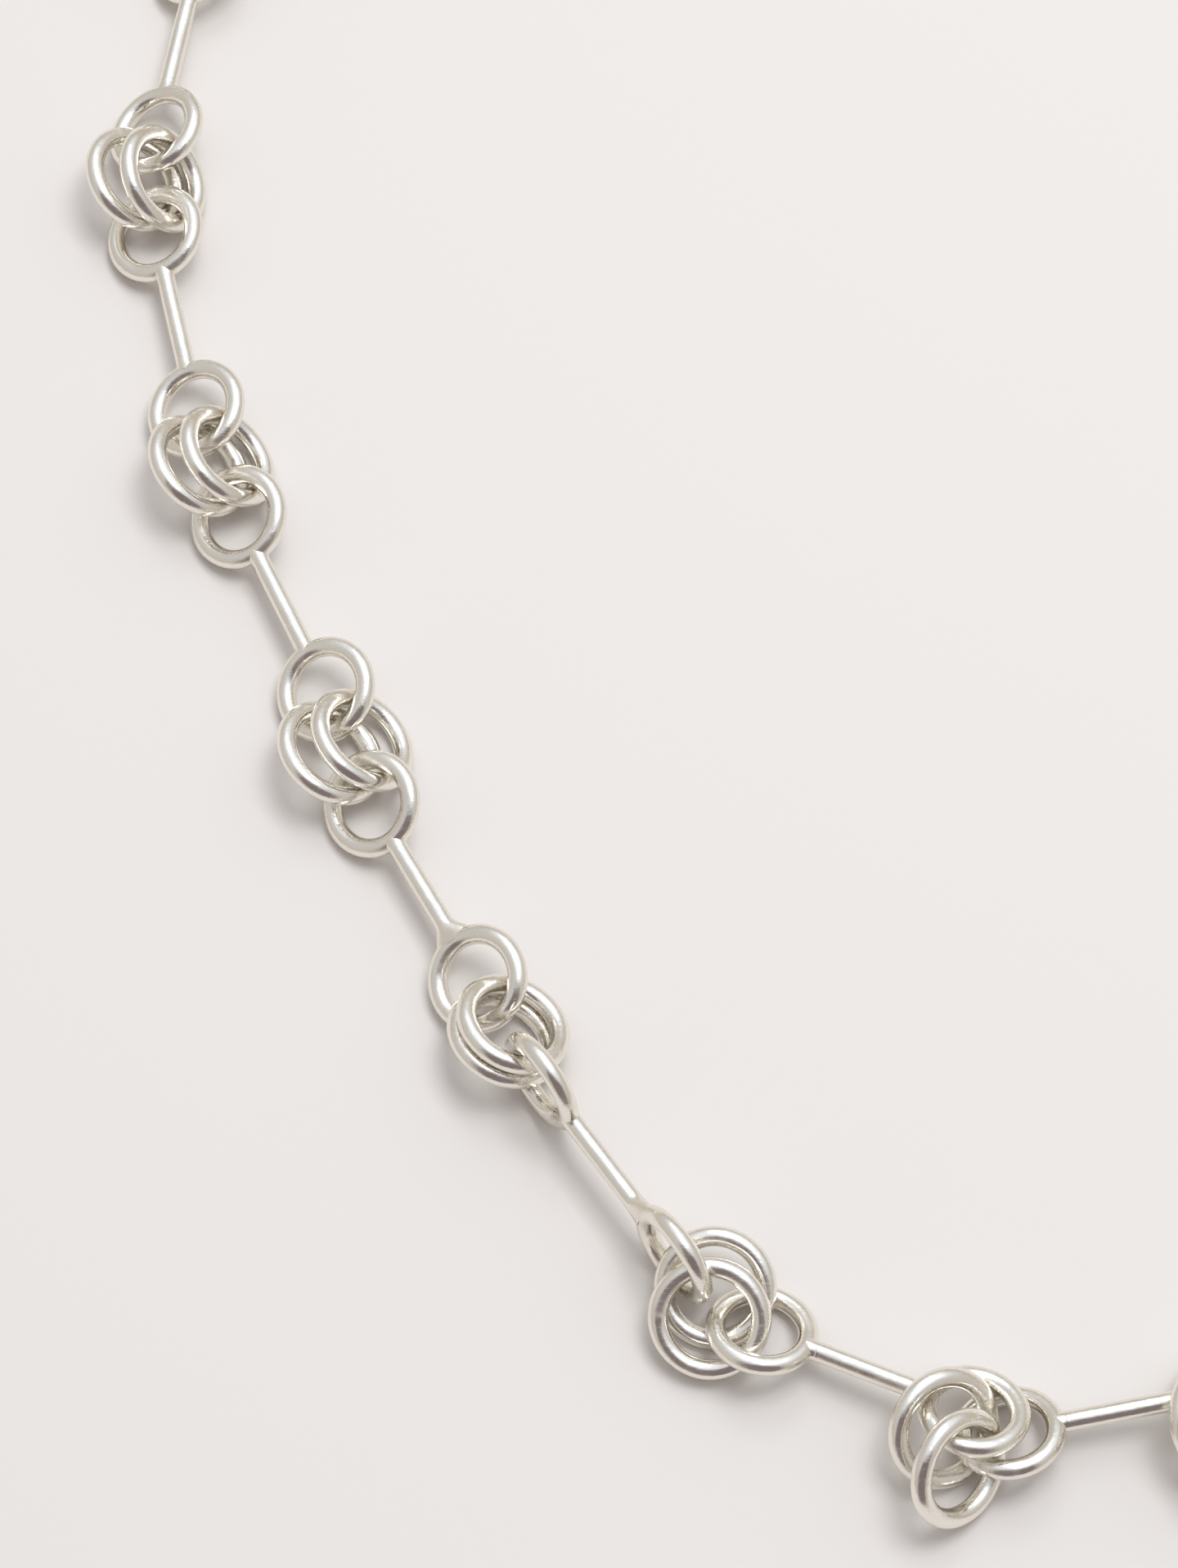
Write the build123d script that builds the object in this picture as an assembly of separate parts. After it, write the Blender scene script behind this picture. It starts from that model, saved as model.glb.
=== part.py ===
from build123d import *
import os
from collections import namedtuple
from math import atan2, cos, degrees, hypot, pi, radians, sin
import numpy as np

# A silver necklace of bar links joined by pairs of loose rings, lying on a flat surface.
# Every bar link is a straight round bar with a round eye soldered on each end.
# Two loose rings pass through both eyes wherever two bar links meet.
# Lengths are millimetres. Ring diameters are taken to the middle of the wire.
ring_wire = 1.5
bar_wire = 1.45
eye_diameter = 6.7
loose_diameter = 7.4
link_length = 16.1
link_count = 18

# The solder that fills the corners between a bar and its eye, in the plane of the eye:
# how far it spreads on either side of the bar where the joint is neat, and where it ran.
# solder_run is how many times as far it runs along the bar.
neat_solder = 0.3
broad_solder = 0.9
solder_run = 1.3

# The solder's cross-sections from the middle of the eye's wire to its end on the bar.
# reach is a share of that way, spread of the solder's spread, and depth of bar_wire.
Section = namedtuple("Section", "reach spread depth")
solder_sections = [
    Section(0.00, 1.00, 0.94),
    Section(0.35, 0.85, 0.94),
    Section(0.60, 0.40, 0.94),
    Section(0.80, 0.12, 0.94),
    Section(1.00, -0.05, 0.92),
]

# The least air that settling leaves between two wires
clearance = 0.15

# The plain S-shaped hook that closes the necklace, lying where the photo doesn't reach.
# hook_slack is the play of an eye in a bend, hook_run the straight between the bends,
# and hook_wrap how many degrees each bend goes round.
hook_wire = 1.2
hook_slack = 0.9
hook_run = 2.9
hook_wrap = 250
hook_bend = ring_wire + hook_slack + hook_wire
hook_length = hypot(hook_bend, hook_run)

# The visible bar links, in the order in which the chain runs down, round and up again.
# heading is the compass way of the bar on the surface, rise how far its far end points up,
# and roll how far the link is turned about its bar, all in degrees. solder is the spread
# of the solder at its far eye. At the near eye it is always neat.
Link = namedtuple("Link", "heading rise roll solder")
visible_links = [
    Link(-99.5, 3, -26, neat_solder),
    Link(-76, 4, -22, neat_solder),
    Link(-64.5, 1.5, -26, neat_solder),
    Link(-58.5, 2.5, -31, broad_solder),
    Link(-54.5, 0, -85, broad_solder),
    Link(-23.5, 5, 27, neat_solder),
    Link(9.5, 1, 27, neat_solder),
]

# One loose ring where two links meet. along, across and height place its middle from
# halfway between the two eyes, as shares of loose_diameter. It leans by tilt degrees
# from flat towards the compass way toward, which counts from the chain's own heading.
Ring = namedtuple("Ring", "along across height toward tilt")

# How far apart the two eyes lie, as shares of the gap when the chain is pulled tight,
# and the two loose rings that join them.
Joint = namedtuple("Joint", "along across rings")
visible_joints = [
    Joint(0.81, -0.03, (Ring(-0.01, -0.20, 0.42, 94, 40), Ring(0.02, 0.10, 0.49, 88, 51))),
    Joint(0.85, 0.01, (Ring(-0.02, -0.16, 0.42, 89, 40), Ring(-0.01, 0.10, 0.46, 92, 45))),
    Joint(0.86, -0.12, (Ring(0.01, -0.12, 0.40, 86, 37), Ring(0.05, 0.17, 0.41, 84, 39))),
    Joint(0.90, -0.06, (Ring(-0.01, 0.02, 0.58, 94, 31), Ring(-0.01, -0.11, 0.37, 94, 31))),
    Joint(0.70, -0.01, (Ring(-0.06, 0.10, 0.31, -63, 25), Ring(0.10, -0.23, 0.39, -63, 26))),
    Joint(0.24, -0.06, (Ring(-0.37, -0.08, 0.43, -36, 38), Ring(-0.28, -0.48, 0.56, -26, 59))),
    Joint(0.24, -0.06, (Ring(-0.34, -0.14, 0.43, -36, 38), Ring(-0.26, -0.50, 0.56, -26, 57))),
]

# The hidden stretch repeats the arrangement that most of the visible joints show
usual_joint = Joint(0.85, 0.00, (Ring(0.00, -0.21, 0.42, 90, 40), Ring(0.02, 0.13, 0.46, 90, 45)))
usual_rise = 2
usual_roll = 24
links_before = 5
links_after = link_count - links_before - len(visible_links)

# How far the pieces sink while they settle, in which share of the rounds, and how finely
# a wire is sampled
sink_depth = 0.3
settle_rounds = 260
sinking_share = 0.6
ring_samples = 64
bar_samples = 16

# How the hidden turns are found: tries, the share of each correction that is made, and
# the change in degrees that tests the slope. tiny is a length too small to matter.
closing_tries = 40
closing_share = 0.7
closing_probe = 1e-4
tiny = 1e-6

tight_gap = eye_diameter + loose_diameter - 2 * ring_wire


def compass(angle):
    """The level direction that a heading in degrees points to."""
    return np.array([cos(radians(angle)), sin(radians(angle)), 0.0])


def spin(axis, angle):
    """The matrix that turns by an angle in radians about a unit axis."""
    x, y, z = axis
    cross = np.array([[0, -z, y], [z, 0, -x], [-y, x, 0]])
    return np.eye(3) + sin(angle) * cross + (1 - cos(angle)) * cross @ cross


def circle_line(diameter, middle=0.0):
    """Points round a circle in the XY plane, its middle on the X axis."""
    angle = np.linspace(0, 2 * pi, ring_samples, endpoint=False)
    radius = diameter / 2
    return np.stack([middle + radius * np.cos(angle), radius * np.sin(angle), 0 * angle], 1)


def hook_angle():
    """The slope of the hook's middle run, which is tangent to both bends."""
    return atan2(hook_bend, hook_run)


def hook_line():
    """Points along the S-shaped hook in the XY plane, from one tip to the other."""
    slope = hook_angle()
    turned = np.radians(np.linspace(0, hook_wrap, ring_samples // 2))
    angle = pi / 2 + slope - turned
    bend = np.stack([np.cos(angle), np.sin(angle), 0 * angle], 1) * hook_bend / 2
    bend += [hook_length / 2, 0, 0]
    run = np.linspace(-1, 1, bar_samples)[:, None] * bend[0]
    return np.concatenate([-bend[::-1], run[1:-1], bend])


class Piece:
    """A rigid piece of the chain: its wire's middle line, half thickness and place, and
    for a bar link the spread of the solder at its far eye."""

    def __init__(self, name, line, half, place, turn, solder=None):
        self.name = name
        self.line = line
        self.half = half
        self.place = np.array(place, float)
        self.turn = turn
        self.solder = solder
        self.stiffness = (line ** 2).sum(1).mean()

    def points(self):
        return self.place + self.line @ self.turn.T

    def nudge(self, spots, pushes, depths):
        """Shifts and turns the piece so that the pushed spots give way."""
        weight = depths / depths.sum()
        shift = (pushes * weight[:, None]).sum(0)
        torque = (np.cross(spots - self.place, pushes) * weight[:, None]).sum(0)
        lever = np.dot(torque, torque) / max(np.dot(shift, shift), tiny ** 2)
        share = 1 / (1 + lever / self.stiffness)
        self.place = self.place + shift * share
        twist = torque * share / self.stiffness
        angle = np.linalg.norm(twist)
        if angle > tiny:
            self.turn = spin(twist / angle, angle) @ self.turn


def link_piece(name, link, near_eye):
    """A bar link whose near eye has its middle above the given spot on the surface."""
    along = compass(link.heading)
    side = np.array([-along[1], along[0], 0.0])
    rise, roll = radians(link.rise), radians(link.roll)
    axis = along * cos(rise) + np.array([0, 0, sin(rise)])
    above = np.cross(axis, side)
    normal = above * cos(roll) + side * sin(roll)
    turn = np.stack([axis, np.cross(normal, axis), normal], 1)
    lean = np.sqrt(1 - normal[2] ** 2)
    rest_height = eye_diameter / 2 * lean + ring_wire / 2
    place = near_eye + axis * link_length / 2
    place[2] += rest_height
    eyes = [circle_line(eye_diameter, side * link_length / 2) for side in (-1, 1)]
    reach = (link_length - eye_diameter) / 2
    bar = np.linspace(-reach, reach, bar_samples)[:, None] * np.array([[1.0, 0, 0]])
    line = np.concatenate([*eyes, bar])
    half = np.full(len(line), ring_wire / 2)
    half[-bar_samples:] = bar_wire / 2
    return Piece(name, line, half, place, turn, link.solder)


def eye_middle(piece, end):
    """Where the middle of a link's near (-1) or far (1) eye is."""
    return piece.place + piece.turn[:, 0] * end * link_length / 2


def ring_piece(name, ring, middle, heading):
    """A loose ring, placed from halfway between the two eyes that it joins."""
    along, across = compass(heading), compass(heading + 90)
    place = middle + (along * ring.along + across * ring.across) * loose_diameter
    place[2] = ring.height * loose_diameter
    down = compass(heading + ring.toward)
    normal = down * sin(radians(ring.tilt)) + np.array([0, 0, cos(radians(ring.tilt))])
    flat = np.cross([0, 0, 1], down)
    turn = np.stack([flat, np.cross(normal, flat), normal], 1)
    line = circle_line(loose_diameter)
    return Piece(name, line, np.full(len(line), ring_wire / 2), place, turn)


def hook_piece(middle, heading):
    """The hook, standing on edge between the last eye and the first."""
    along = compass(heading)
    place = np.array(middle)
    place[2] = (hook_bend + hook_wire) / 2
    turn = np.stack([along, np.array([0, 0, 1.0]), -compass(heading + 90)], 1)
    line = hook_line()
    return Piece("s_hook", line, np.full(len(line), hook_wire / 2), place, turn)


def mirrored(joint):
    """The same joint with its left and right sides changed over."""
    rings = tuple(r._replace(across=-r.across, toward=-r.toward) for r in joint.rings)
    return joint._replace(across=-joint.across, rings=rings)


def gap_step(joint, before, after):
    """From the far eye of one link to the near eye of the next, on the surface."""
    heading = (before + after) / 2
    step = compass(heading) * joint.along + compass(heading + 90) * joint.across
    return step * tight_gap


def closing_turns(joints):
    """The turns in degrees at the hidden joints, which vary smoothly and close the loop."""
    first, last = visible_links[0].heading, visible_links[-1].heading
    path = np.zeros(3)
    for index, link in enumerate(visible_links):
        path = path + compass(link.heading) * link_length * cos(radians(link.rise))
        if index + 1 < len(visible_links):
            following = visible_links[index + 1].heading
            path = path + gap_step(visible_joints[index], link.heading, following)
    steps = np.arange(len(joints))
    whole_turn = first + 360 - last

    def misses(terms):
        turns = terms[0] + terms[1] * steps + terms[2] * steps ** 2
        heading, spot = last, path
        for joint, turn in zip(joints, turns):
            spot = spot + gap_step(joint, heading, heading + turn)
            heading = heading + turn
            spot = spot + compass(heading) * link_length * cos(radians(usual_rise))
        spot = spot - compass(heading) * link_length * cos(radians(usual_rise))
        return np.array([spot[0], spot[1], turns.sum() - whole_turn])

    terms = np.array([whole_turn / len(joints), 0.0, 0.0])
    for _ in range(closing_tries):
        miss = misses(terms)
        probes = np.eye(3) * closing_probe
        slope = [(misses(terms + probe) - miss) / closing_probe for probe in probes]
        terms = terms - closing_share * np.linalg.solve(np.array(slope).T, miss)
    return terms[0] + terms[1] * steps + terms[2] * steps ** 2


def lay_out():
    """All pieces where the tables put them, with the pairs of pieces that meet."""
    hook_gap = (eye_diameter + hook_length) / tight_gap
    hook_joint = Joint(hook_gap, 0.0, ())
    after = [visible_joints[-1]] + [mirrored(usual_joint)] * (links_after - 1)
    before = [usual_joint] * links_before
    hidden = after + [hook_joint] + before
    headings = visible_links[-1].heading + np.cumsum(closing_turns(hidden))
    rolls = [usual_roll] * links_after + [-usual_roll] * links_before
    hidden_links = [
        Link(heading, usual_rise, roll, neat_solder) for heading, roll in zip(headings, rolls)
    ]
    rows = visible_links + hidden_links
    joints = visible_joints[:-1] + hidden

    links, rings, meeting = [], [], []
    near_eye = np.zeros(3)
    for index, (row, joint) in enumerate(zip(rows, joints)):
        number = (index + links_before) % link_count + 1
        link = link_piece(f"bar_link_{number:02d}", row, near_eye)
        after_heading = rows[(index + 1) % link_count].heading
        if index + 1 == link_count:
            after_heading += 360
        far_eye = eye_middle(link, 1) * [1, 1, 0]
        near_eye = far_eye + gap_step(joint, row.heading, after_heading)
        middle = (far_eye + near_eye) / 2
        heading = (row.heading + after_heading) / 2
        joiners = [
            ring_piece(f"loose_ring_{number:02d}{letter}", ring, middle, heading)
            for letter, ring in zip("ab", joint.rings)
        ]
        if not joiners:
            joiners = [hook_piece(middle, heading)]
        links.append(link)
        rings.append(joiners)
    for index, joiners in enumerate(rings):
        group = [links[index], links[(index + 1) % link_count]] + joiners
        for place, piece in enumerate(group):
            meeting += [(piece, other) for other in group[place + 1:]]
    return links, rings, meeting


def push_apart(one, other):
    """Moves two pieces apart wherever their wires are nearer than the clearance."""
    spots, other_spots = one.points(), other.points()
    squares = (spots ** 2).sum(1)[:, None] + (other_spots ** 2).sum(1)[None]
    distance = np.sqrt(np.maximum(squares - 2 * spots @ other_spots.T, tiny))
    depth = one.half[:, None] + other.half[None] + clearance - distance
    nearest = depth.argmax(1)
    rows = np.arange(len(spots))
    touching = depth[rows, nearest] > 0
    if not touching.any():
        return 0.0
    rows, nearest = rows[touching], nearest[touching]
    depth = depth[rows, nearest]
    apart = spots[rows] - other_spots[nearest]
    push = apart / distance[rows, nearest][:, None] * depth[:, None] / 2
    one.nudge(spots[rows], push, depth)
    other.nudge(other_spots[nearest], -push, depth)
    return depth.max()


def keep_above_surface(piece):
    """Lifts a piece where it dips into the surface that the chain lies on."""
    spots = piece.points()
    depth = piece.half - spots[:, 2]
    low = depth > 0
    if low.any():
        push = np.zeros((low.sum(), 3))
        push[:, 2] = depth[low]
        piece.nudge(spots[low], push, depth[low])


def settle(links, rings, meeting):
    """Lets the pieces sink onto each other and the surface, then frees every overlap."""
    pieces = links + [piece for joiners in rings for piece in joiners]
    sinking_rounds = round(sinking_share * settle_rounds)
    for turn in range(settle_rounds):
        if turn < sinking_rounds:
            for piece in pieces:
                piece.place = piece.place - [0, 0, sink_depth / sinking_rounds]
        deepest = max(push_apart(one, other) for one, other in meeting)
        for piece in pieces:
            keep_above_surface(piece)
    return pieces, deepest


def centre(pieces):
    """Moves the chain so that the middle of its box's underside is the origin."""
    low, high = np.full(3, np.inf), np.full(3, -np.inf)
    for piece in pieces:
        spots = piece.points()
        low = np.minimum(low, (spots - piece.half[:, None]).min(0))
        high = np.maximum(high, (spots + piece.half[:, None]).max(0))
    offset = np.array([(low[0] + high[0]) / 2, (low[1] + high[1]) / 2, low[2]])
    for piece in pieces:
        piece.place = piece.place - offset


def solder(end, spread):
    """The solder between the bar and one eye, wide at the eye and gone along the bar."""
    start = (link_length - eye_diameter) / 2
    faces = []
    for section in solder_sections:
        spot = end * (start - section.reach * (ring_wire / 2 + solder_run * spread))
        plane = Plane(origin=(spot, 0, 0), x_dir=(0, 1, 0), z_dir=(1, 0, 0))
        half_width = bar_wire / 2 + section.spread * spread
        faces.append(plane * Ellipse(half_width, section.depth * bar_wire / 2))
    return loft(faces)


def link_solid(far_solder):
    """A bar with an eye soldered on each end, flat in the XY plane."""
    bar = Rot(0, 90, 0) * Cylinder(bar_wire / 2, link_length - eye_diameter)
    solid = bar + [solder(-1, neat_solder), solder(1, far_solder)]
    for end in (-1, 1):
        eye = Torus(eye_diameter / 2, ring_wire / 2)
        solid += Pos(end * link_length / 2, 0, 0) * eye
    return solid


def ring_solid():
    """A loose ring in the XY plane."""
    return Torus(loose_diameter / 2, ring_wire / 2)


def hook_solid():
    """The S-shaped hook in the XY plane, with rounded tips."""
    slope = hook_angle()
    far = CenterArc((hook_length / 2, 0), hook_bend / 2, degrees(slope + pi / 2), -hook_wrap)
    near = CenterArc((-hook_length / 2, 0), hook_bend / 2, degrees(slope - pi / 2), -hook_wrap)
    run = Line(near @ 0, far @ 0)
    solid = None
    for path in (near, run, far):
        section = Plane(origin=path @ 0, z_dir=path % 0) * Circle(hook_wire / 2)
        length = sweep(section, path=path)
        solid = length if solid is None else solid + length
    for spot in (near @ 1, far @ 1, near @ 0, far @ 0):
        solid += Pos(spot) * Sphere(hook_wire / 2)
    return solid


def placed(solid, piece):
    """A copy of a solid where its piece lies."""
    x_dir, z_dir = tuple(piece.turn[:, 0]), tuple(piece.turn[:, 2])
    plane = Plane(origin=tuple(piece.place), x_dir=x_dir, z_dir=z_dir)
    return plane.location * solid


links, rings, meeting = lay_out()
pieces, deepest = settle(links, rings, meeting)
centre(pieces)
print(f"closest wires are {clearance - deepest:.3f} mm apart")

os.makedirs("parts", exist_ok=True)
plain_links = {spread: link_solid(spread) for spread in (neat_solder, broad_solder)}
plain_ring = ring_solid()
for link in links:
    export_step(placed(plain_links[link.solder], link), f"parts/{link.name}.step")
for joiners in rings:
    if len(joiners) == 2:
        pair = Compound(children=[placed(plain_ring, ring) for ring in joiners])
        name = joiners[0].name.replace("loose_ring", "ring_pair")[:-1]
        export_step(pair, f"parts/{name}.step")
    else:
        export_step(placed(hook_solid(), joiners[0]), f"parts/{joiners[0].name}.step")
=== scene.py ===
from math import cos, pi, radians, sin, tau
import bpy
import numpy as np
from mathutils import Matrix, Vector


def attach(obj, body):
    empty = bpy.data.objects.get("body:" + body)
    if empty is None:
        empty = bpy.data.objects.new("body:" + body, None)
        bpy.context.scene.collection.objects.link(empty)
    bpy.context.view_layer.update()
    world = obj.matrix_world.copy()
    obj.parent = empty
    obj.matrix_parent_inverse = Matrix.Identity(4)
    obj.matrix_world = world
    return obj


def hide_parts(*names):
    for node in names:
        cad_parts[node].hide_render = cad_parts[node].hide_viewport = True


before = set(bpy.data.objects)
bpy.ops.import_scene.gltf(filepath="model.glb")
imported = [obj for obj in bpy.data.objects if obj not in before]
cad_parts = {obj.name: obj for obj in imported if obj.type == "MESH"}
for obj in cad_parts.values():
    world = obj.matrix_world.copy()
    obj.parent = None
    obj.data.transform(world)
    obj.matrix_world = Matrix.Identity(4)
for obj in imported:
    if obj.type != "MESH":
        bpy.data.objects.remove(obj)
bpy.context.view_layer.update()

# Bar links. Each is a straight round silver bar with an eye of slightly thicker wire on each end.
# The eyes are bent round, closed and soldered to the bar's ends, so solder fills the corners
# there, neatly on most eyes and in a broad pool where it ran, and ends in a fine step on the bar.
millimetre = 0.001
eye_diameter = 0.0067
eye_wire = 0.0015
bar_wire = 0.00145
link_length = 0.0161
bend_unevenness = 0.000018
wire_unevenness = 0.000012
neat_solder = 0.0003
broad_solder = 0.0009
with_broad_far_solder = ["bar_link_09", "bar_link_10"]
solder_run = 1.3
solder_depth = 0.00003
solder_hollow = 1.1
solder_edge_width = 0.00007
solder_edge_height = 0.000016
seam_dull_reach = 0.00035
seam_width = 0.00009
seam_depth = 0.00003


class Wirework:
    """Gathers tubes of silver wire into one mesh, with the share of solder at each point."""

    def __init__(self):
        self.points, self.faces, self.uvs, self.solder, self.count = [], [], [], [], 0

    def tube(self, middles, outs, ups, half_outs, half_ups, closed, solder, around=28):
        """One tube through middles, its section spread along outs and ups."""
        stations = len(middles)
        turn = np.linspace(0, tau, around, endpoint=False)
        spread = np.cos(turn)[None, :, None] * (outs * half_outs[:, None])[:, None]
        lift = np.sin(turn)[None, :, None] * (ups * half_ups[:, None])[:, None]
        points = middles[:, None] + spread + lift
        run = np.arange(stations if closed else stations - 1)
        after = (run + 1) % stations
        side = np.arange(around)
        beside = (side + 1) % around
        a = run[:, None] * around + side[None]
        b = after[:, None] * around + side[None]
        c = after[:, None] * around + beside[None]
        d = run[:, None] * around + beside[None]
        faces = np.stack([a, d, c, b], 2).reshape(-1, 4) + self.count
        steps = np.linalg.norm(np.roll(middles, -1, 0) - middles, axis=1)
        along = np.concatenate([[0], np.cumsum(steps)])[:stations + 1]
        low, high = along[run][:, None], along[run + 1][:, None]
        left, right = side[None] / around, (side[None] + 1) / around
        corners = [(low, left), (low, right), (high, right), (high, left)]
        spans = [np.stack(np.broadcast_arrays(u / millimetre, v), 2) for u, v in corners]
        self.points.append(points.reshape(-1, 3))
        self.faces.append(faces)
        self.uvs.append(np.stack(spans, 2).reshape(-1, 2))
        self.solder.append(np.repeat(solder, around))
        self.count += stations * around

    def mesh(self, name, place, turn):
        """The mesh of all tubes, laid in the necklace at place with the axes in turn."""
        points = np.concatenate(self.points) @ turn.T + place
        mesh = bpy.data.meshes.new(name)
        mesh.from_pydata(points.tolist(), [], np.concatenate(self.faces).tolist())
        along_wire = mesh.uv_layers.new(name="along_wire")
        along_wire.data.foreach_set("uv", np.concatenate(self.uvs).ravel())
        solder = mesh.attributes.new("solder", "FLOAT", "POINT")
        solder.data.foreach_set("value", np.concatenate(self.solder))
        mesh.shade_smooth()
        mesh.update()
        return mesh, points


def unevenness(angle, slow_waves, slow_phase, quick_waves, quick_phase):
    """Two waves round a ring, from -2 to 0, so that what they change only gets smaller."""
    slow = np.sin(slow_waves * angle + slow_phase) * 0.6
    return slow + np.sin(quick_waves * angle + quick_phase) * 0.4 - 1


def bent_ring(work, chance, diameter, middle, stations, seam=None):
    """Adds a ring of wire, bent by hand and so a hair out of round. A seam is its soldered
    joint, at that angle: a fine groove across the wire in a dull patch."""
    angle = np.linspace(0, tau, stations, endpoint=False)
    phases = chance.uniform(0, tau, 5)
    bend = unevenness(angle, 2, phases[0], 3, phases[1])
    lift = np.sin(2 * angle + phases[2]) * bend_unevenness
    thick = unevenness(angle, 3, phases[3], 7, phases[4])
    radius = diameter / 2 + bend * bend_unevenness
    outs = np.stack([np.cos(angle), np.sin(angle), 0 * angle], 1)
    middles = outs * radius[:, None] + np.stack([0 * angle, 0 * angle, lift], 1)
    ups = np.tile([0.0, 0.0, 1.0], (stations, 1))
    half = eye_wire / 2 + thick * wire_unevenness
    solder = np.zeros(stations)
    if seam is not None:
        away = np.abs((angle - seam + pi) % tau - pi) * radius
        solder = np.exp(-(away / seam_dull_reach) ** 2)
        half = half - seam_depth * np.exp(-(away / seam_width) ** 2)
    work.tube(middles + middle, outs, ups, half, half, True, solder)


def soldered_bar(work, near_spread, far_spread):
    """Adds the bar, which swells into the solder that holds the eyes on its ends. A fine step
    goes round the bar where the solder ends."""
    reach = (link_length - eye_diameter) / 2
    in_solder = np.linspace(0, reach / 2, 40)
    on_plain_bar = np.linspace(reach / 2, reach, 8)[1:]
    inward = np.concatenate([in_solder, on_plain_bar])
    x = np.concatenate([-reach + inward, (reach - inward)[::-1][1:]])
    half_width = np.full(len(x), bar_wire / 2)
    half_depth = np.full(len(x), bar_wire / 2)
    solder = np.zeros(len(x))
    for end, spread in ((-1, near_spread), (1, far_spread)):
        away = np.abs(x - end * reach)
        fillet = eye_wire / 2 + solder_run * spread
        share = np.clip(away / fillet, 0, 1)
        swell = (0.5 + 0.5 * np.cos(pi * share)) ** solder_hollow
        past_edge = (away - fillet * 1.02) / solder_edge_width
        step = np.exp(-past_edge ** 2) * solder_edge_height
        half_width += spread * swell + step
        half_depth += solder_depth * swell + step
        solder += swell
    middles = np.stack([x, 0 * x, 0 * x], 1)
    outs = np.tile([0.0, 1.0, 0.0], (len(x), 1))
    ups = np.tile([0.0, 0.0, 1.0], (len(x), 1))
    work.tube(middles, outs, ups, half_width, half_depth, False, np.clip(solder, 0, 1))


def surface_of(points, triangles):
    """Middle and principal axes of a surface, from its triangles weighted by their area."""
    corners = points[triangles]
    middles = corners.mean(1)
    sides = np.cross(corners[:, 1] - corners[:, 0], corners[:, 2] - corners[:, 0])
    area = np.linalg.norm(sides, axis=1)
    middle = (middles * area[:, None]).sum(0) / area.sum()
    away = middles - middle
    axes = np.linalg.eigh((away * area[:, None]).T @ away)[1]
    return middle, axes[:, ::-1]


def node_surface(name):
    """The points and triangles of a CAD node."""
    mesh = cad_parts[name].data
    mesh.calc_loop_triangles()
    points = np.empty(len(mesh.vertices) * 3)
    mesh.vertices.foreach_get("co", points)
    triangles = np.empty(len(mesh.loop_triangles) * 3, int)
    mesh.loop_triangles.foreach_get("vertices", triangles)
    return points.reshape(-1, 3), triangles.reshape(-1, 3)


def link_place(name, before):
    """Middle and axes of a bar link, its first axis pointing away from the piece before it."""
    points, triangles = node_surface(name)
    middle, axes = surface_of(points, triangles)
    along, normal = axes[:, 0], axes[:, 2]
    if np.dot(middle - surface_of(*node_surface(before))[0], along) < 0:
        along = -along
    if normal[2] < 0:
        normal = -normal
    ends = (points - middle) @ along
    middle = middle + along * (ends.min() + ends.max()) / 2
    return middle, np.stack([along, np.cross(normal, along), normal], 1)


def ring_places(name):
    """Middle and axes of each loose ring in a CAD node that holds two of them. Points at one
    spot count as one, and points that share triangles come to share an owner: their ring."""
    points, triangles = node_surface(name)
    owner = np.arange(len(points))
    same = np.unique(np.round(points, 7), axis=0, return_inverse=True)[1].ravel()
    first = {}
    for index, spot in enumerate(same):
        owner[index] = first.setdefault(spot, index)
    changed = True
    while changed:
        lowest = owner[triangles].min(1)
        before = owner.copy()
        for corner in range(3):
            np.minimum.at(owner, triangles[:, corner], lowest)
        owner = np.minimum(owner, owner[owner])
        owner = owner[[first[spot] for spot in same]]
        changed = (owner != before).any()
    rings = []
    for ring in np.unique(owner[triangles[:, 0]]):
        own = triangles[owner[triangles[:, 0]] == ring]
        middle, axes = surface_of(points, own)
        normal = axes[:, 2] * (1 if axes[2, 2] > 0 else -1)
        out = np.cross([0, 0, 1], normal)
        out = out / np.linalg.norm(out)
        rings.append((middle, np.stack([out, np.cross(normal, out), normal], 1)))
    return rings


link_names = sorted(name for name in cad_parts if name.startswith("bar_link"))
pair_names = sorted(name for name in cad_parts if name.startswith("ring_pair"))
links = {}
for number, name in enumerate(link_names):
    links[name] = link_place(name, pair_names[number - 1] if number else "s_hook")
pairs = {name: ring_places(name) for name in pair_names}

# Painted shade: the silver is darkened and browned where a piece touches another, standing in for
# the shade that falls there, so the middle line of every ring and eye in the chain is gathered
# first: whose it is, its middle, its axis and its diameter.
loose_diameter = 0.0074
contact_reach = 0.00045
contact_search = 0.02
wires = []
for name, (middle, turn) in links.items():
    for end in (-1, 1):
        wires.append((name, middle + turn[:, 0] * end * link_length / 2, turn[:, 2], eye_diameter))
for name, rings in pairs.items():
    for letter, (middle, turn) in zip("ab", rings):
        wires.append((name + letter, middle, turn[:, 2], loose_diameter))


def mark_contacts(mesh, points, own):
    """Marks how near each point of a piece is to the wire of the pieces that it touches."""
    nearest = np.full(len(points), 1.0)
    for owner, middle, normal, diameter in wires:
        if owner == own or np.linalg.norm(points.mean(0) - middle) > contact_search:
            continue
        away = points - middle
        height = away @ normal
        level = np.linalg.norm(away - height[:, None] * normal, axis=1)
        gap = np.hypot(level - diameter / 2, height) - eye_wire / 2
        nearest = np.minimum(nearest, gap)
    contact = mesh.attributes.new("contact", "FLOAT", "POINT")
    contact.data.foreach_set("value", np.exp(-(np.maximum(nearest, 0) / contact_reach) ** 2))


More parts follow.
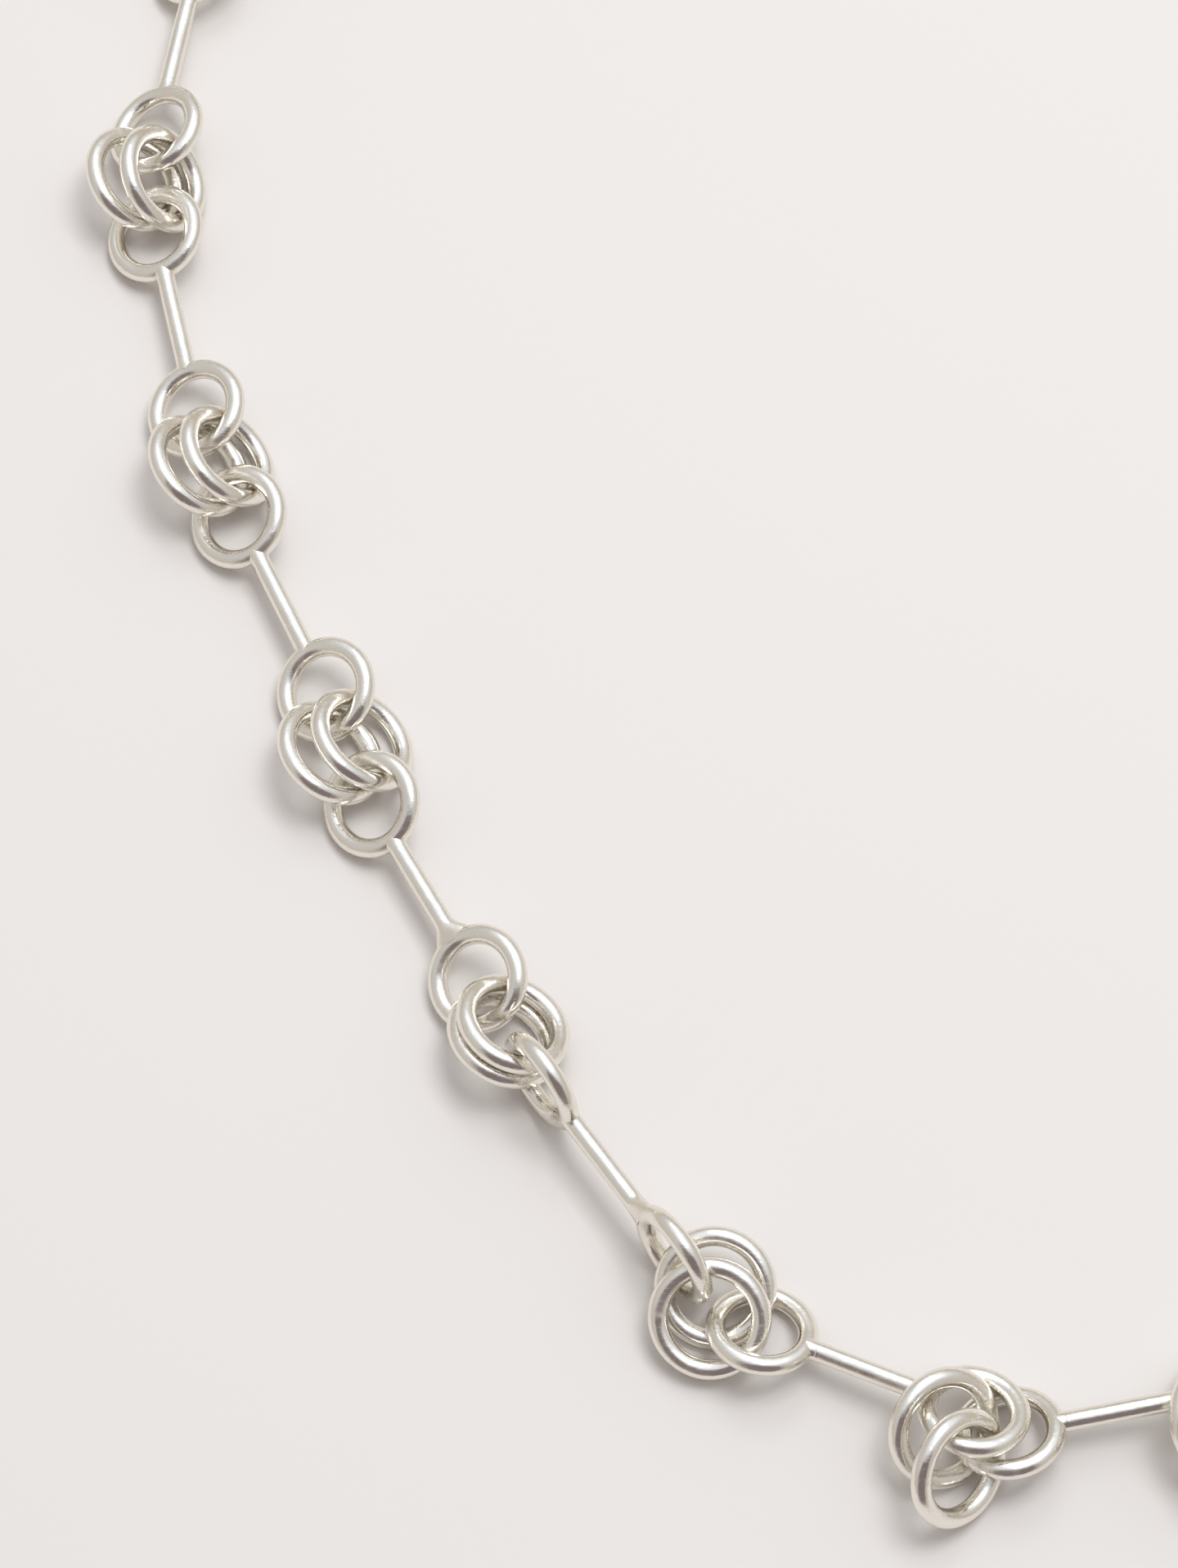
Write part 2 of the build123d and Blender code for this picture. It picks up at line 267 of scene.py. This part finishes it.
def effect(name, inputs, outputs):
    """An empty node group with named inputs and outputs."""
    group = bpy.data.node_groups.new(name, "ShaderNodeTree")
    for label, kind in inputs:
        group.interface.new_socket(label, in_out="INPUT", socket_type=kind)
    for label, kind in outputs:
        group.interface.new_socket(label, in_out="OUTPUT", socket_type=kind)
    return group, group.nodes.new("NodeGroupInput"), group.nodes.new("NodeGroupOutput")


def calculation(tree, operation, first, second=None, third=None, clamp=False):
    """A Math node fed by sockets or plain numbers, and its result."""
    node = tree.nodes.new("ShaderNodeMath")
    node.operation = operation
    node.use_clamp = clamp
    for socket, value in zip(node.inputs, (first, second, third)):
        if isinstance(value, (int, float)):
            socket.default_value = value
        elif value is not None:
            tree.links.new(value, socket)
    return node.outputs[0]


def smooth_step(tree, value, low, high):
    """value, eased from 0 at low to 1 at high."""
    node = tree.nodes.new("ShaderNodeMapRange")
    node.interpolation_type = "SMOOTHSTEP"
    tree.links.new(value, node.inputs["Value"])
    node.inputs["From Min"].default_value = low
    node.inputs["From Max"].default_value = high
    return node.outputs["Result"]


def noise(tree, vector, scale, detail, roughness=0.5):
    """A noise texture's value."""
    node = tree.nodes.new("ShaderNodeTexNoise")
    tree.links.new(vector, node.inputs["Vector"])
    node.inputs["Scale"].default_value = scale
    node.inputs["Detail"].default_value = detail
    node.inputs["Roughness"].default_value = roughness
    return node.outputs["Fac"]


def stretched(tree, vector, rotation, scale):
    """A vector turned and stretched, so that a noise in it draws out into streaks."""
    node = tree.nodes.new("ShaderNodeMapping")
    tree.links.new(vector, node.inputs["Vector"])
    node.inputs["Rotation"].default_value = rotation
    node.inputs["Scale"].default_value = scale
    return node.outputs["Vector"]


hairlines, given, result = effect(
    "hairline scratches", [("Millimetres", "NodeSocketVector")], [("Scratches", "NodeSocketFloat")]
)
scratches = None
for rotation, width in (((0.4, 1.1, 0.3), 7.0), ((1.9, 0.2, 1.2), 9.0), ((2.6, 0.8, 2.3), 11.0)):
    streaks = stretched(hairlines, given.outputs["Millimetres"], rotation, (0.35, width, width))
    lines = noise(hairlines, streaks, 1.0, 2.0)
    fine = smooth_step(hairlines, lines, 0.63, 0.70)
    scratches = fine if scratches is None else calculation(hairlines, "MAXIMUM", scratches, fine)
hairlines.links.new(scratches, result.inputs["Scratches"])

satin, given, result = effect(
    "hand polish",
    [("Millimetres", "NodeSocketVector")],
    [("Satin", "NodeSocketFloat"), ("Waves", "NodeSocketFloat")],
)
patches = noise(satin, given.outputs["Millimetres"], 0.45, 3.0, 0.6)
satin.links.new(smooth_step(satin, patches, 0.36, 0.66), result.inputs["Satin"])
waves = noise(satin, given.outputs["Millimetres"], 0.9, 2.0)
satin.links.new(waves, result.inputs["Waves"])

# Painted shade: a darkening broken into speckles where pieces touch, standing in for the shade in
# those corners.
painted_shade_group, given, result = effect(
    "dark corners",
    [("Millimetres", "NodeSocketVector"), ("Nearness", "NodeSocketFloat")],
    [("Darkness", "NodeSocketFloat")],
)
speckle = noise(painted_shade_group, given.outputs["Millimetres"], 3.0, 4.0, 0.65)
spots = smooth_step(painted_shade_group, speckle, 0.42, 0.62)
darkness = calculation(painted_shade_group, "MULTIPLY", spots, given.outputs["Nearness"])
painted_shade_group.links.new(darkness, result.inputs["Darkness"])


def blended_colour(tree, factor, first, second):
    """A Mix node between two colours, each a socket or plain numbers, and its result."""
    node = tree.nodes.new("ShaderNodeMix")
    node.data_type = "RGBA"
    tree.links.new(factor, node.inputs["Factor"])
    for label, colour in (("A", first), ("B", second)):
        if isinstance(colour, tuple):
            node.inputs[label].default_value = (*colour, 1)
        else:
            tree.links.new(colour, node.inputs[label])
    return node.outputs["Result"]


# Painted shade where pieces touch: its brown, how much of it shows, and the dullness it adds. Then
# the solder's own yellow and dullness.
painted_shade_brown, painted_shade_share, corner_dullness = (0.44, 0.34, 0.20), 0.75, 0.25
solder_yellow, solder_share, solder_dullness = (0.82, 0.77, 0.66), 0.5, 0.14
scratch_depth, scratch_dullness = 0.0000015, 0.10
wave_height = 0.00003


def silver_finish(name, colour, shine, satin_share, line_height):
    """Polished silver with hairlines, satin patches, dull solder and painted shade in the corners
    where pieces touch. shine is the roughness where it is brightest, satin_share what a satin
    patch adds to it, and line_height the height of the lines along the wire that drawing it has
    left."""
    material = bpy.data.materials.new(name)
    material.use_nodes = True
    tree = material.node_tree
    shader = tree.nodes["Principled BSDF"]
    shader.inputs["Metallic"].default_value = 1.0
    place = tree.nodes.new("ShaderNodeTexCoord").outputs["Object"]
    millimetres = tree.nodes.new("ShaderNodeVectorMath")
    millimetres.operation = "SCALE"
    millimetres.inputs["Scale"].default_value = 1000.0
    tree.links.new(place, millimetres.inputs[0])
    millimetres = millimetres.outputs["Vector"]

    marks = {}
    for group in (hairlines, satin, painted_shade_group):
        node = tree.nodes.new("ShaderNodeGroup")
        node.node_tree = group
        tree.links.new(millimetres, node.inputs["Millimetres"])
        marks[group.name] = node
    marked = {}
    for label in ("contact", "solder"):
        node = tree.nodes.new("ShaderNodeAttribute")
        node.attribute_name = label
        marked[label] = node.outputs["Fac"]
    tree.links.new(marked["contact"], marks["dark corners"].inputs["Nearness"])

    wire_lines = tree.nodes.new("ShaderNodeUVMap")
    wire_lines.uv_map = "along_wire"
    drawn = stretched(tree, wire_lines.outputs["UV"], (0, 0, 0), (0.5, 60.0, 1.0))
    drawn = smooth_step(tree, noise(tree, drawn, 1.0, 3.0), 0.35, 0.75)

    darkness = marks["dark corners"].outputs["Darkness"]
    scratched = marks["hairline scratches"].outputs["Scratches"]
    satin_patch = marks["hand polish"].outputs["Satin"]
    dull = calculation(tree, "MULTIPLY", marked["solder"], solder_dullness)
    rough = calculation(tree, "MULTIPLY_ADD", satin_patch, satin_share, shine)
    rough = calculation(tree, "MULTIPLY_ADD", scratched, scratch_dullness, rough)
    rough = calculation(tree, "MULTIPLY_ADD", darkness, corner_dullness, rough)
    rough = calculation(tree, "ADD", rough, dull, clamp=True)
    tree.links.new(rough, shader.inputs["Roughness"])

    # Painted shade: the base colour is mixed towards brown where pieces touch.
    painted_shading = calculation(tree, "MULTIPLY", darkness, painted_shade_share)
    yellowed = calculation(tree, "MULTIPLY", marked["solder"], solder_share)
    tone = blended_colour(tree, painted_shading, colour, painted_shade_brown)
    tone = blended_colour(tree, yellowed, tone, solder_yellow)
    tree.links.new(tone, shader.inputs["Base Color"])

    height = calculation(tree, "MULTIPLY", marks["hand polish"].outputs["Waves"], wave_height)
    height = calculation(tree, "MULTIPLY_ADD", scratched, -scratch_depth, height)
    height = calculation(tree, "MULTIPLY_ADD", drawn, line_height, height)
    bump = tree.nodes.new("ShaderNodeBump")
    bump.inputs["Strength"].default_value = 1.0
    bump.inputs["Distance"].default_value = 1.0
    tree.links.new(height, bump.inputs["Height"])
    tree.links.new(bump.outputs["Normal"], shader.inputs["Normal"])
    return material


link_silver = silver_finish(
    "polished link silver", (0.88, 0.845, 0.775),
    shine=0.14, satin_share=0.16, line_height=0.0000008,
)
for number, name in enumerate(link_names, 1):
    middle, turn = links[name]
    chance = np.random.default_rng(number)
    work = Wirework()
    for end in (-1, 1):
        bent_ring(work, chance, eye_diameter, np.array([end * link_length / 2, 0, 0]), 112)
    near = neat_solder * chance.uniform(0.3, 0.9)
    far = broad_solder
    if name not in with_broad_far_solder:
        far = neat_solder * chance.uniform(0.3, 0.9)
    soldered_bar(work, near, far)
    mesh, points = work.mesh(name + "_polished", middle, turn)
    mark_contacts(mesh, points, name)
    mesh.materials.append(link_silver)
    link = bpy.data.objects.new(name + "_polished", mesh)
    bpy.context.scene.collection.objects.link(link)
    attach(link, "root")
    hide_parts(name)

# Loose rings. Two closed rings of the same round wire, a little wider than the eyes, pass through
# both eyes where two links meet. Each is bent from wire, soldered shut and polished, which leaves
# a fine seam across the wire.
ring_silver = silver_finish(
    "polished ring silver", (0.885, 0.85, 0.785),
    shine=0.12, satin_share=0.15, line_height=0.0000005,
)
for number, name in enumerate(pair_names, 1):
    for letter, (middle, turn) in zip("ab", pairs[name]):
        chance = np.random.default_rng(100 * number + ord(letter))
        work = Wirework()
        seam = chance.uniform(0, tau)
        bent_ring(work, chance, loose_diameter, np.zeros(3), 120, seam)
        ring_name = name.replace("ring_pair", "loose_ring") + letter
        mesh, points = work.mesh(ring_name, middle, turn)
        mark_contacts(mesh, points, name + letter)
        mesh.materials.append(ring_silver)
        ring = bpy.data.objects.new(ring_name, mesh)
        bpy.context.scene.collection.objects.link(ring)
        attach(ring, "root")
        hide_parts(name)

# Hook. A short length of thinner wire, bent into an S whose two bends hold the first and the last
# eye. It is the plain closing of the chain, polished like the rest.
hook_silver = silver_finish(
    "polished hook silver", (0.88, 0.845, 0.775),
    shine=0.14, satin_share=0.14, line_height=0.0,
)
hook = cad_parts["s_hook"]
hook.data.materials.clear()
hook.data.materials.append(hook_silver)
hook.data.shade_smooth()

# Surface. The necklace lies on smooth, pale, warm paper, which isn't part of it.
bpy.ops.mesh.primitive_plane_add(size=6.0, location=(0, 0, 0))
surface = bpy.context.object
surface.name = "pale_surface"
paper = bpy.data.materials.new("pale paper")
paper.use_nodes = True
paper_shader = paper.node_tree.nodes["Principled BSDF"]
paper_shader.inputs["Base Color"].default_value = (0.785, 0.742, 0.706, 1)
paper_shader.inputs["Roughness"].default_value = 0.9
paper_shader.inputs["Specular IOR Level"].default_value = 0.1
surface.data.materials.append(paper)

# Light. A pale room has a large soft lamp overhead, which leans to the far right, and a soft
# window lower down on the far side. The ceiling glows round them, and the near side is darker.
room = bpy.data.worlds.new("pale studio")
bpy.context.scene.world = room
room.use_nodes = True
tree = room.node_tree
direction = tree.nodes.new("ShaderNodeTexCoord").outputs["Generated"]
glow_way = Vector((0.17, 0.35, 0.92)).normalized()
shade_way = Vector((0.03, -0.82, 0.57)).normalized()


def nearness(way, low, high):
    """How near the room's direction is to a given way, from 0 at low to 1 at high."""
    product = tree.nodes.new("ShaderNodeVectorMath")
    product.operation = "DOT_PRODUCT"
    tree.links.new(direction, product.inputs[0])
    product.inputs[1].default_value = way
    return smooth_step(tree, product.outputs["Value"], low, high)


split = tree.nodes.new("ShaderNodeSeparateXYZ")
tree.links.new(direction, split.inputs[0])
walls = tree.nodes.new("ShaderNodeValToRGB")
tree.links.new(split.outputs["Z"], walls.inputs["Fac"])
walls.color_ramp.elements[0].position = 0.0
walls.color_ramp.elements[0].color = (0.55, 0.49, 0.405, 1)
walls.color_ramp.elements[1].position = 0.5
walls.color_ramp.elements[1].color = (0.61, 0.60, 0.59, 1)
near_shade = nearness(shade_way, 0.68, 0.86)
ceiling_glow = nearness(glow_way, 0.60, 0.95)
shaded = blended_colour(tree, near_shade, walls.outputs["Color"], (0.215, 0.18, 0.18))
ceiling = blended_colour(tree, ceiling_glow, shaded, (0.93, 0.975, 1.055))
background = tree.nodes["Background"]
tree.links.new(ceiling, background.inputs["Color"])
background.inputs["Strength"].default_value = 1.0

lamp_way = Vector((0.22, 0.18, 0.96)).normalized()
window_way = Vector((0.02, 0.58, 0.81)).normalized()
lamp_distance = 0.65
lit_spot = Vector((-0.03, -0.026, 0.0))
for label, way, side, energy in (
    ("large soft lamp", lamp_way, 0.27, 1.85),
    ("soft window", window_way, 0.19, 0.42),
):
    lamp = bpy.data.lights.new(label, "AREA")
    lamp.shape = "SQUARE"
    lamp.size, lamp.energy = side, energy
    lamp.color = (0.95, 0.98, 1.0)
    holder = bpy.data.objects.new(label, lamp)
    bpy.context.scene.collection.objects.link(holder)
    holder.location = lit_spot + way * lamp_distance
    holder.rotation_euler = way.to_track_quat("Z", "Y").to_euler()

# Camera. It looks steeply down at the near left part of the loop, at the photograph's angle. Its
# focal length is in points of the picture, as the picture's height is.
elevation = radians(67.8)
distance = 0.3585
aim = Vector((-0.03046, -0.02654, 0.0))
focal_length = 5844
picture_height = 1916
lens = bpy.data.cameras.new("camera")
lens.sensor_fit = "VERTICAL"
lens.sensor_height = 24.0
lens.lens = lens.sensor_height * focal_length / picture_height
lens.clip_start = 0.01
camera = bpy.data.objects.new("camera", lens)
bpy.context.scene.collection.objects.link(camera)
camera.location = aim + Vector((0.0, -cos(elevation), sin(elevation))) * distance
camera.rotation_euler = (pi / 2 - elevation, 0.0, 0.0)
bpy.context.scene.camera = camera
bpy.context.scene.view_settings.view_transform = "Standard"
